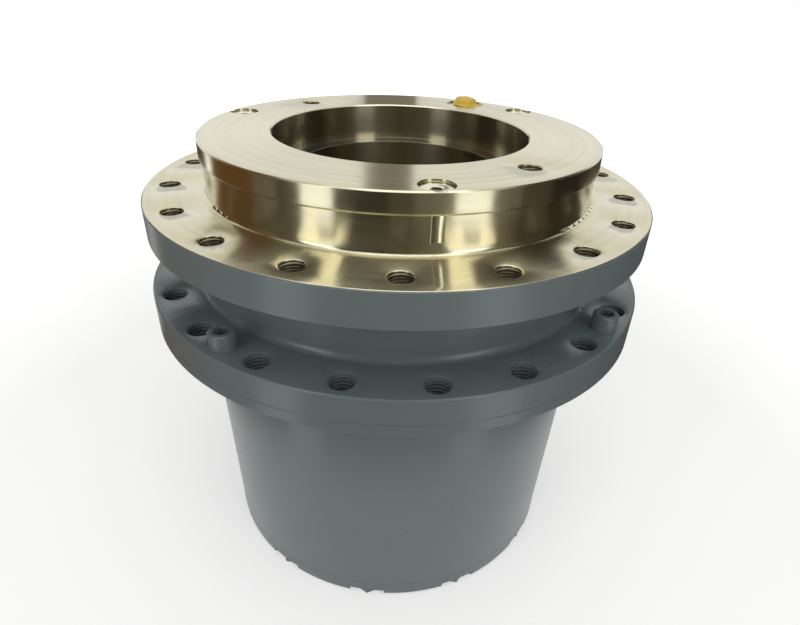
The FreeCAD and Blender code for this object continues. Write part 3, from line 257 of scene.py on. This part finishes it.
def felt(name, tint):
    """Dyed wool felt: matt, with a soft mottle."""
    material, tree, output = new_material(name)
    mottle = add_node(tree, "ShaderNodeTexNoise", {"Scale": 7.0, "Detail": 3.0}, {"Vector": object_place(tree)})
    shade = add_node(
        tree, "ShaderNodeMapRange", {"To Min": 0.75, "To Max": 1.25}, {"Value": mottle.outputs["Fac"]}
    )
    colour = add_node(
        tree, "ShaderNodeHueSaturation", {"Color": linear(tint)}, {"Value": shade.outputs[0]}
    )
    cloth = add_node(
        tree, "ShaderNodeBsdfPrincipled", {"Roughness": 1.0}, {"Base Color": colour.outputs["Color"]}
    )
    tree.links.new(cloth.outputs["BSDF"], output.inputs["Surface"])
    return material


def felt_card(name, first, last, material):
    """A card between two azimuths that lies on the floor and then stands. Only mirror images show it."""
    behind = LOW_CARDS_FROM < abs(first + last) / 2 < LOW_CARDS_TO
    tall = LOW_CARD if behind else TALL_CARD
    steps = max(1, round((last - first) / CARD_STEP))
    low = FLOOR_HEIGHT + CARD_CLEARANCE
    corners = []
    for step in range(steps + 1):
        turned = math.radians(first + (last - first) * step / steps)
        for reach, level in ((CARD_START, low), (CARD_END, low), (CARD_END, low + tall)):
            corners.append((reach * math.sin(turned), -reach * math.cos(turned), level))
    faces = []
    for step in range(steps):
        start = 3 * step
        faces.append((start, start + 1, start + 4, start + 3))
        faces.append((start + 1, start + 2, start + 5, start + 4))
    mesh = bpy.data.meshes.new(name)
    mesh.from_pydata(corners, [], faces)
    mesh.materials.append(material)
    card = bpy.data.objects.new(name, mesh)
    card.visible_camera = False
    card.visible_diffuse = False
    card.visible_shadow = False
    scene.collection.objects.link(card)


black_felt = felt("black_wool_felt", "261d14")
brown_felt = felt("brown_wool_felt", "7d5526")
olive_felt = felt("olive_wool_felt", "564a3a")
grey_felt = felt("grey_wool_felt", "837a6c")
CARDS = (
    (-164, -124, olive_felt),
    (-116, -78, brown_felt),
    (-78, -63, grey_felt),
    (-63, -49, olive_felt),
    (-32, -4, black_felt),
    (-4, 8, olive_felt),
    (8, 28, grey_felt),
    (47, 64, grey_felt),
    (64, 84, olive_felt),
    (84, 118, black_felt),
    (118, 162, olive_felt),
    (178, 185, grey_felt),
)
for number, (first, last, material) in enumerate(CARDS, start=1):
    felt_card(f"card_{number}", first, last, material)


# Spindle. The fixed housing is turned steel. Its pilot land, its bore and the top of its bolting flange
# are left bare from the lathe, the bore with a darker tint as painted shade, and its rim and underside are
# sprayed grey.

LATHE_GROOVE_MM = 0.5
SHARP_EDGE = math.radians(36)
JOIN_DISTANCE = 2e-6
EDGE_WEAR_RADIUS = 0.0005
FLANGE_UNDERSIDE = -0.025
PAINT_EDGE_RADIUS = 0.1961
PAINT_EDGE_HEIGHT = -0.0003
SEAL_SEAT_RADIUS = 0.1395
STEEL_TINT = "d8d2b6"
STEEL_DARK = "beb79a"
STEEL_ROUGHNESS = 0.21
STEEL_ANISOTROPY = 0.9
# Darker tints for the inside of the bore: painted shade of the deep recess
BORE_SHADE_TINT = "bdb9a2"
BORE_SHADE_DARK = "96927e"
BORE_RADIUS = 0.1004
BORE_TOP = 0.0388
PAINT_TINT = "687273"


def between(tree, value, low, high):
    """1 where the value lies between two limits."""
    settings = {"operation": "COMPARE", 1: (low + high) / 2, 2: (high - low) / 2}
    return add_node(tree, "ShaderNodeMath", settings, {0: value}).outputs[0]


def worn_edge(tree):
    """Normals that are rounded over each edge, so that it catches the light as a broken edge does."""
    return add_node(tree, "ShaderNodeBevel", {"samples": 4, "Radius": EDGE_WEAR_RADIUS}).outputs[0]


def lathe_noise(tree, spacing_mm, detail):
    """Noise in rings round the axle. It runs on across turned faces and along turned walls alike."""
    radius, height = axle_radius(tree)
    path = add_node(tree, "ShaderNodeMath", {"operation": "ADD"}, {0: radius, 1: height})
    settings = {"noise_dimensions": "1D", "Scale": 1000.0 / spacing_mm, "Detail": detail}
    return add_node(tree, "ShaderNodeTexNoise", settings, {"W": path.outputs[0]}).outputs["Fac"]


def turned_shader(tree, tint, dark_tint, roughness, groove_mm, anisotropy):
    """Metal from the lathe: fine grooves round the axle, which draw each highlight out across them."""
    grooves = lathe_noise(tree, groove_mm, 2.0)
    bands = lathe_noise(tree, 14 * groove_mm, 3.0)
    stains = add_node(
        tree, "ShaderNodeTexNoise", {"Scale": 11.0, "Detail": 4.0}, {"Vector": object_place(tree)}
    ).outputs["Fac"]
    tone = add_node(tree, "ShaderNodeMath", {"operation": "MULTIPLY"}, {0: bands, 1: stains})
    colour = add_node(
        tree,
        "ShaderNodeMix",
        {"data_type": "RGBA", 6: linear(tint), 7: linear(dark_tint)},
        {0: tone.outputs[0]},
    )
    rough = add_node(
        tree,
        "ShaderNodeMapRange",
        {"To Min": roughness - 0.03, "To Max": roughness + 0.04},
        {"Value": bands},
    )
    relief = add_node(
        tree,
        "ShaderNodeBump",
        {"Strength": 0.12, "Distance": 0.00002},
        {"Height": grooves, "Normal": worn_edge(tree)},
    )
    around = add_node(tree, "ShaderNodeTangent", {"direction_type": "RADIAL", "axis": "Z"})
    return add_node(
        tree,
        "ShaderNodeBsdfPrincipled",
        {"Metallic": 1.0, "Anisotropic": anisotropy, "Anisotropic Rotation": 0.25},
        {
            "Base Color": colour.outputs[2],
            "Roughness": rough.outputs[0],
            "Normal": relief.outputs[0],
            "Tangent": around.outputs[0],
        },
    ).outputs["BSDF"]


def paint_shader(tree, tint):
    """Two-pack enamel sprayed over turned iron: semi-gloss, with faint tool marks and orange peel."""
    place = object_place(tree)
    peel = add_node(
        tree, "ShaderNodeTexNoise", {"Scale": 620.0, "Detail": 1.0}, {"Vector": place}
    ).outputs["Fac"]
    marks = lathe_noise(tree, 1.2, 1.0)
    surface = add_node(tree, "ShaderNodeMath", {"operation": "ADD"}, {0: peel, 1: marks})
    dust = add_node(
        tree, "ShaderNodeTexNoise", {"Scale": 9.0, "Detail": 5.0}, {"Vector": place}
    ).outputs["Fac"]
    shade = add_node(tree, "ShaderNodeMapRange", {"To Min": 0.94, "To Max": 1.06}, {"Value": dust})
    colour = add_node(
        tree, "ShaderNodeHueSaturation", {"Color": linear(tint)}, {"Value": shade.outputs[0]}
    )
    rough = add_node(tree, "ShaderNodeMapRange", {"To Min": 0.24, "To Max": 0.34}, {"Value": dust})
    relief = add_node(
        tree,
        "ShaderNodeBump",
        {"Strength": 0.12, "Distance": 0.00005},
        {"Height": surface.outputs[0], "Normal": worn_edge(tree)},
    )
    return add_node(
        tree,
        "ShaderNodeBsdfPrincipled",
        {"Metallic": 0.0},
        {
            "Base Color": colour.outputs["Color"],
            "Roughness": rough.outputs[0],
            "Normal": relief.outputs[0],
        },
    ).outputs["BSDF"]


def turned_metal(name, tint, dark_tint, roughness, groove_mm, anisotropy):
    """A metal from the lathe as a material of its own."""
    material, tree, output = new_material(name)
    metal = turned_shader(tree, tint, dark_tint, roughness, groove_mm, anisotropy)
    tree.links.new(metal, output.inputs["Surface"])
    return material


def shade_smooth(work, sharp_angle):
    """Marks every edge over the angle as sharp, and all other faces as smooth."""
    for edge in work.edges:
        edge.smooth = edge.calc_face_angle(0.0) < sharp_angle
    for face in work.faces:
        face.smooth = True


def smooth_copy(node, name, material):
    """A piece that stands for a CAD node: its triangles joined, curved walls smooth and edges sharp."""
    source = cad_nodes[node]
    corners = [tuple(vertex.co) for vertex in source.data.vertices]
    faces = [tuple(face.vertices) for face in source.data.polygons]
    mesh = bpy.data.meshes.new(name)
    mesh.from_pydata(corners, [], faces)
    work = bmesh.new()
    work.from_mesh(mesh)
    bmesh.ops.remove_doubles(work, verts=work.verts, dist=JOIN_DISTANCE)
    shade_smooth(work, SHARP_EDGE)
    work.to_mesh(mesh)
    work.free()
    mesh.materials.append(material)
    piece = bpy.data.objects.new(name, mesh)
    scene.collection.objects.link(piece)
    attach(piece, source["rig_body"])
    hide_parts(node)
    return piece


turned_steel = turned_metal(
    "turned_bare_steel", STEEL_TINT, STEEL_DARK, STEEL_ROUGHNESS, LATHE_GROOVE_MM, STEEL_ANISOTROPY
)

# The spindle's own material is that steel, with the enamel over the flange's rim and underside
spindle_material, tree, output = new_material("turned_steel_with_sprayed_rim")
radius, height = axle_radius(tree)
rim = add_node(
    tree,
    "ShaderNodeMath",
    {"operation": "MULTIPLY"},
    {
        0: between(tree, radius, PAINT_EDGE_RADIUS, 1.0),
        1: between(tree, height, -1.0, PAINT_EDGE_HEIGHT),
    },
)
underside = add_node(
    tree,
    "ShaderNodeMath",
    {"operation": "MULTIPLY"},
    {
        0: between(tree, radius, SEAL_SEAT_RADIUS, 1.0),
        1: between(tree, height, FLANGE_UNDERSIDE - 0.001, FLANGE_UNDERSIDE + 0.0002),
    },
)
painted = add_node(
    tree, "ShaderNodeMath", {"operation": "MAXIMUM"}, {0: rim.outputs[0], 1: underside.outputs[0]}
)
bare = turned_shader(
    tree, STEEL_TINT, STEEL_DARK, STEEL_ROUGHNESS, LATHE_GROOVE_MM, STEEL_ANISOTROPY
)
# Inside the bore, below the motor face, the steel takes the darker tints as painted shade
inside_bore = add_node(
    tree,
    "ShaderNodeMath",
    {"operation": "MULTIPLY"},
    {0: between(tree, radius, -1.0, BORE_RADIUS), 1: between(tree, height, -1.0, BORE_TOP)},
)
bore_painted_shade = turned_shader(
    tree, BORE_SHADE_TINT, BORE_SHADE_DARK, STEEL_ROUGHNESS, LATHE_GROOVE_MM, STEEL_ANISOTROPY
)
steel = add_node(tree, "ShaderNodeMixShader", links={0: inside_bore.outputs[0], 1: bare, 2: bore_painted_shade})
both = add_node(
    tree,
    "ShaderNodeMixShader",
    links={0: painted.outputs[0], 1: steel.outputs[0], 2: paint_shader(tree, PAINT_TINT)},
)
tree.links.new(both.outputs[0], output.inputs["Surface"])
smooth_copy("spindle", "turned_spindle", spindle_material)


# Threads of the frame flange, the motor face and the sprocket flange. They are cut with a tap, so each
# hole carries a right-handed ridge, made here once and repeated round its bolt circle.

THREAD_STEPS = 28
# Shares of the pitch: the ridge's radius, how far it stands in from the wall, and its gap at each end
RIDGE_DEPTH_SHARE = 0.32
RIDGE_INSET_SHARE = 0.1
RIDGE_END_SHARE = 0.5


def thread_tree():
    """A node tree that runs a three-sided ridge down each hole of a bolt circle."""
    tree = bpy.data.node_groups.new("threads_round_a_bolt_circle", "GeometryNodeTree")
    face = tree.interface
    face.new_socket("Geometry", in_out="INPUT", socket_type="NodeSocketGeometry")
    for name in ("Circle Radius", "First Turn", "Thread Radius", "Pitch", "Turns", "Foot"):
        face.new_socket(name, in_out="INPUT", socket_type="NodeSocketFloat")
    face.new_socket("Count", in_out="INPUT", socket_type="NodeSocketInt")
    face.new_socket("Material", in_out="INPUT", socket_type="NodeSocketMaterial")
    face.new_socket("Geometry", in_out="OUTPUT", socket_type="NodeSocketGeometry")
    sizes = add_node(tree, "NodeGroupInput").outputs
    height = add_node(
        tree, "ShaderNodeMath", {"operation": "MULTIPLY"}, {0: sizes["Pitch"], 1: sizes["Turns"]}
    )
    ridge_size = add_node(
        tree, "ShaderNodeMath", {"operation": "MULTIPLY", 1: RIDGE_DEPTH_SHARE}, {0: sizes["Pitch"]}
    )
    ridge_path = add_node(
        tree,
        "GeometryNodeCurveSpiral",
        {"Resolution": THREAD_STEPS},
        {
            "Rotations": sizes["Turns"],
            "Start Radius": sizes["Thread Radius"],
            "End Radius": sizes["Thread Radius"],
            "Height": height.outputs[0],
        },
    )
    ridge_section = add_node(
        tree, "GeometryNodeCurvePrimitiveCircle", {"Resolution": 3}, {"Radius": ridge_size.outputs[0]}
    )
    ridge = add_node(
        tree,
        "GeometryNodeCurveToMesh",
        {"Fill Caps": True},
        {"Curve": ridge_path.outputs[0], "Profile Curve": ridge_section.outputs[0]},
    )
    first_place = add_node(
        tree, "ShaderNodeCombineXYZ", links={"X": sizes["Circle Radius"], "Z": sizes["Foot"]}
    )
    hole_step = add_node(
        tree, "ShaderNodeMath", {"operation": "DIVIDE", 0: math.tau}, {1: sizes["Count"]}
    )
    hole_turn = add_node(
        tree,
        "ShaderNodeMath",
        {"operation": "MULTIPLY_ADD"},
        {
            0: add_node(tree, "GeometryNodeInputIndex").outputs[0],
            1: hole_step.outputs[0],
            2: sizes["First Turn"],
        },
    )
    place = add_node(
        tree,
        "ShaderNodeVectorRotate",
        {"rotation_type": "Z_AXIS"},
        {"Vector": first_place.outputs[0], "Angle": hole_turn.outputs[0]},
    )
    # Points, because a mesh circle makes nothing for the motor face's two holes
    holes = add_node(
        tree, "GeometryNodePoints", links={"Count": sizes["Count"], "Position": place.outputs[0]}
    )
    copies = add_node(
        tree,
        "GeometryNodeInstanceOnPoints",
        links={"Points": holes.outputs[0], "Instance": ridge.outputs[0]},
    )
    real = add_node(tree, "GeometryNodeRealizeInstances", links={0: copies.outputs[0]})
    coloured = add_node(
        tree, "GeometryNodeSetMaterial", links={"Geometry": real.outputs[0], "Material": sizes["Material"]}
    )
    add_node(tree, "NodeGroupOutput", links={0: coloured.outputs[0]})
    return tree


def grown(name, tree, sizes, body):
    """The plain mesh that a node tree makes from the named sizes, riding on a body."""
    seed = bpy.data.objects.new(name + "_seed", bpy.data.meshes.new(name + "_seed"))
    scene.collection.objects.link(seed)
    modifier = seed.modifiers.new("sizes", "NODES")
    modifier.node_group = tree
    for item in tree.interface.items_tree:
        if item.item_type == "SOCKET" and item.in_out == "INPUT" and item.name in sizes:
            modifier[item.identifier] = sizes[item.name]
    bpy.context.view_layer.update()
    evaluated = seed.evaluated_get(bpy.context.evaluated_depsgraph_get())
    mesh = bpy.data.meshes.new_from_object(evaluated)
    seed.modifiers.remove(modifier)
    bpy.data.objects.remove(seed)
    piece = bpy.data.objects.new(name, mesh)
    scene.collection.objects.link(piece)
    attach(piece, body)
    return piece


def threads(name, body, material, circle, first, count, radius, pitch, top, depth):
    """The ridges of one bolt circle, from sizes in millimetres and the angle of its first hole."""
    return grown(
        name,
        thread_ridges,
        {
            "Circle Radius": circle / 1000,
            "First Turn": math.radians(first - 90.0),
            "Thread Radius": (radius - RIDGE_INSET_SHARE * pitch) / 1000,
            "Pitch": pitch / 1000,
            "Turns": depth / pitch - 2 * RIDGE_END_SHARE,
            "Foot": (top - depth + RIDGE_END_SHARE * pitch) / 1000,
            "Count": count,
            "Material": material,
        },
        body,
    )


# Cut with a tap: torn flanks, duller than a turned face, with a darker colour as painted shade inside the holes
tapped_steel = turned_metal(
    "tapped_bare_steel", "a8a28c", "6c6753", roughness=0.35, groove_mm=0.5, anisotropy=0.0
)
thread_ridges = thread_tree()
threads(
    "frame_flange_threads", "spindle", tapped_steel,
    circle=179.5, first=0.9, count=18, radius=8.0, pitch=2.0, top=0.0, depth=25.0,
)
threads(
    "motor_face_threads", "spindle", tapped_steel,
    circle=128.0, first=41.0, count=2, radius=8.0, pitch=2.0, top=40.0, depth=30.0,
)


# Pull pins. Three ground steel pins sit in counterbores of the motor face, a little below it. Each has a
# tapped centre, which takes the screw that draws the pin out again.

# Ground steel: paler than the turned face round it, with highlights that are less drawn out
ground_steel = turned_metal(
    "ground_steel", "eeebd4", "cfcbb2", roughness=0.22, groove_mm=0.4, anisotropy=0.3
)
smooth_copy("pull_pins", "ground_pull_pins", ground_steel)


# Transport cap of the oil port. It is moulded in soft yellow polyethylene and pressed in by hand, so it
# leans a little. A thin rim covers the port, and a lobed knob and a tongue on the rim draw it out again.

PORT_RADIUS = 0.1335
PORT_TURN = math.radians(152.4)
PORT_FLOOR = 0.0385
CAP_STEPS = 60
CAP_LEAN = math.radians(4.0)
CAP_LIFT = 0.0008
KNOB_LOBES = 5
KNOB_LOBE_DEPTH = 0.09
TONGUE_TURN = math.radians(-35.0)
TONGUE_WIDTH = 0.32
TONGUE_LENGTH = 0.0036
CAP_SHARP_EDGE = math.radians(50)
# Heights and radii up the skin, with how far each follows the lobes and the tongue
CAP_SKIN = (
    (-0.0120, 0.0079, 0.0, 0.0),
    (-0.0002, 0.0079, 0.0, 0.0),
    (0.0002, 0.0116, 0.0, 1.0),
    (0.0008, 0.0120, 0.0, 1.0),
    (0.0014, 0.0116, 0.0, 1.0),
    (0.0017, 0.0106, 0.3, 0.0),
    (0.0024, 0.0099, 1.0, 0.0),
    (0.0048, 0.0094, 1.0, 0.0),
    (0.0059, 0.0083, 0.9, 0.0),
    (0.0064, 0.0066, 0.7, 0.0),
    (0.0065, 0.0040, 0.3, 0.0),
)


def cap_mesh():
    """The cap's closed skin, ring by ring. The rings above the port's edge are turned by the lean."""
    place = Vector((PORT_RADIUS * math.sin(PORT_TURN), -PORT_RADIUS * math.cos(PORT_TURN), PORT_FLOOR))
    lean = Matrix.Rotation(CAP_LEAN, 4, Vector((1.0, 0.4, 0.0)))
    work = bmesh.new()

    def skin_point(reach, turned, level):
        point = Vector((reach * math.cos(turned), reach * math.sin(turned), level))
        if level > 0.0:
            point = lean @ point + Vector((0.0, 0.0, CAP_LIFT))
        return work.verts.new(place + point)

    rings = []
    for level, reach, lobed, tongued in CAP_SKIN:
        ring = []
        for step in range(CAP_STEPS):
            turned = 2 * math.pi * step / CAP_STEPS
            swell = 1 + lobed * KNOB_LOBE_DEPTH * math.cos(KNOB_LOBES * turned)
            off_tongue = math.remainder(turned - TONGUE_TURN, 2 * math.pi) / TONGUE_WIDTH
            tongue = tongued * TONGUE_LENGTH * math.exp(-off_tongue ** 4)
            ring.append(skin_point(reach * swell + tongue, turned, level))
        rings.append(ring)
    for lower, upper in zip(rings, rings[1:]):
        for step in range(CAP_STEPS):
            after = (step + 1) % CAP_STEPS
            work.faces.new((lower[step], lower[after], upper[after], upper[step]))
    foot = skin_point(0.0, 0.0, CAP_SKIN[0][0])
    crown = skin_point(0.0, 0.0, CAP_SKIN[-1][0])
    for step in range(CAP_STEPS):
        after = (step + 1) % CAP_STEPS
        work.faces.new((rings[0][after], rings[0][step], foot))
        work.faces.new((rings[-1][step], rings[-1][after], crown))
    shade_smooth(work, CAP_SHARP_EDGE)
    mesh = bpy.data.meshes.new("moulded_port_cap")
    work.to_mesh(mesh)
    work.free()
    return mesh


# Soft polyethylene: waxy, with a little light passing through its thin edges
cap_plastic, tree, output = new_material("moulded_yellow_polyethylene")
mottle = add_node(tree, "ShaderNodeTexNoise", {"Scale": 260.0, "Detail": 3.0}, {"Vector": object_place(tree)})
cap_colour = add_node(
    tree,
    "ShaderNodeMix",
    {"data_type": "RGBA", 6: linear("e6c23a"), 7: linear("d3a928")},
    {0: mottle.outputs["Fac"]},
)
cap_relief = add_node(
    tree, "ShaderNodeBump", {"Strength": 0.15, "Distance": 0.0001}, {"Height": mottle.outputs["Fac"]}
)
cap_shader = add_node(
    tree,
    "ShaderNodeBsdfPrincipled",
    {"Roughness": 0.42, "Subsurface Weight": 0.08, "Subsurface Scale": 0.002},
    {"Base Color": cap_colour.outputs[2], "Normal": cap_relief.outputs[0]},
)
tree.links.new(cap_shader.outputs["BSDF"], output.inputs["Surface"])
port_cap = bpy.data.objects.new("moulded_port_cap", cap_mesh())
port_cap.data.materials.append(cap_plastic)
scene.collection.objects.link(port_cap)
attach(port_cap, cad_nodes["port_cap"]["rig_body"])
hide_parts("port_cap")


# Floating seal. Two lapped iron rings run face to face in the gap above the hub. Each sits on a rubber ring,
# which presses it against the other and lets it float.

# Oil-resistant rubber from a mould: dull black, with a fine grain
rubber, tree, output = new_material("moulded_nitrile_rubber")
grain = add_node(tree, "ShaderNodeTexNoise", {"Scale": 900.0, "Detail": 3.0}, {"Vector": object_place(tree)})
rubber_relief = add_node(
    tree, "ShaderNodeBump", {"Strength": 0.3, "Distance": 0.0001}, {"Height": grain.outputs["Fac"]}
)
rubber_rough = add_node(
    tree, "ShaderNodeMapRange", {"To Min": 0.5, "To Max": 0.75}, {"Value": grain.outputs["Fac"]}
)
rubber_shader = add_node(
    tree,
    "ShaderNodeBsdfPrincipled",
    {"Base Color": linear("1b1b1c")},
    {"Roughness": rubber_rough.outputs[0], "Normal": rubber_relief.outputs[0]},
)
tree.links.new(rubber_shader.outputs["BSDF"], output.inputs["Surface"])


def finish_nodes(material, *names):
    """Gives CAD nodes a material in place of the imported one."""
    for name in names:
        for slot in cad_nodes[name].material_slots:
            slot.material = material


# Lapped chilled iron: a fine, even grey shine
lapped_iron = turned_metal(
    "lapped_chilled_iron", "b4b4b0", "92928e", roughness=0.2, groove_mm=0.4, anisotropy=0.4
)
finish_nodes(rubber, "seal_rubber_upper", "seal_rubber_lower", "drum_seal", "cover_seal")
finish_nodes(lapped_iron, "seal_ring_upper", "seal_ring_lower")


# Hub. A ductile iron casting, turned on its collar and flange and sprayed grey all over outside. The
# sprocket's tapped holes were sprayed with it, so their threads are grey too.

grey_enamel, tree, output = new_material("grey_two_pack_enamel")
tree.links.new(paint_shader(tree, PAINT_TINT), output.inputs["Surface"])
smooth_copy("hub", "painted_hub", grey_enamel)
threads(
    "sprocket_threads", "output_drum", grey_enamel,
    circle=186.0, first=8.5, count=20, radius=9.0, pitch=2.5, top=-69.6, depth=19.0,
)


# Cap screws of the flange. Four socket head screws of alloy steel join the hub's flange to the drum's. They
# were sprayed in place, so their heads are grey too.

smooth_copy("flange_cap_screws", "painted_cap_screws", grey_enamel)


# Ring gear drum. A turned steel casing with a thin bolting flange, sprayed grey. The ring gear's teeth are
# cut into its inside.

smooth_copy("ring_gear_drum", "painted_drum", grey_enamel)


# End cover with its bolts, plugs and washers. The cover is a grey iron casting, bolted on between its pads
# and sprayed with its bolts and plugs. The washers under the plugs are soft aluminium.

# Annealed aluminium: pale and a little dull
soft_aluminium = turned_metal(
    "soft_aluminium_washer", "d4d4d6", "b8b8ba", roughness=0.35, groove_mm=0.4, anisotropy=0.2
)
smooth_copy("end_cover", "painted_end_cover", grey_enamel)
smooth_copy("cover_bolts", "painted_cover_bolts", grey_enamel)
smooth_copy("drain_plug", "painted_drain_plug", grey_enamel)
smooth_copy("level_plug", "painted_level_plug", grey_enamel)
finish_nodes(soft_aluminium, "plug_washers")


# Bearings, nut and fixings inside the housing. The bearings' rings and rollers and the thrust button are
# hardened and ground. Cages, nut, screws, dowels and planet pins are turned steel.

# Ground and oiled: the brightest steel in the drive
bearing_steel = turned_metal(
    "ground_bearing_steel", "c8c8c6", "acacaa", roughness=0.18, groove_mm=0.4, anisotropy=0.3
)
finish_nodes(
    bearing_steel,
    "bearing_cup_upper", "bearing_cup_lower", "bearing_cone_upper", "bearing_cone_lower",
    "bearing_rollers_upper", "bearing_rollers_lower", "thrust_button",
)
finish_nodes(
    turned_steel, "bearing_cage_upper", "bearing_cage_lower", "ring_nut", "nut_lock_screws",
    "carrier_screws", "carrier_dowels", "final_planet_pins", "first_planet_pins",
)


# Gear train. The gears are case-hardened steel, dull grey from the furnace, on bronze bushes and washers
# in cast carriers.

# Case-hardened: a dull mid grey. Bronze: warm and half bright. Cast iron: the darkest and most matt
gear_steel = turned_metal(
    "case_hardened_gear_steel", "8a8b8d", "6e6f71", roughness=0.38, groove_mm=0.6, anisotropy=0.2
)
bush_bronze = turned_metal(
    "turned_bronze", "c08d50", "a47640", roughness=0.3, groove_mm=0.4, anisotropy=0.3
)
carrier_iron = turned_metal(
    "machined_cast_iron", "727375", "5b5c5e", roughness=0.5, groove_mm=1.0, anisotropy=0.2
)
planet_names = [f"final_planet_{number}" for number in range(1, 5)]
planet_names += [f"first_planet_{number}" for number in range(1, 4)]
bush_names = [name.replace("planet_", "planet_bush_") for name in planet_names]
finish_nodes(gear_steel, "final_sun", "input_shaft", *planet_names)
finish_nodes(bush_bronze, "final_thrust_washers", "first_thrust_washers", *bush_names)
finish_nodes(carrier_iron, "final_carrier", "first_carrier")
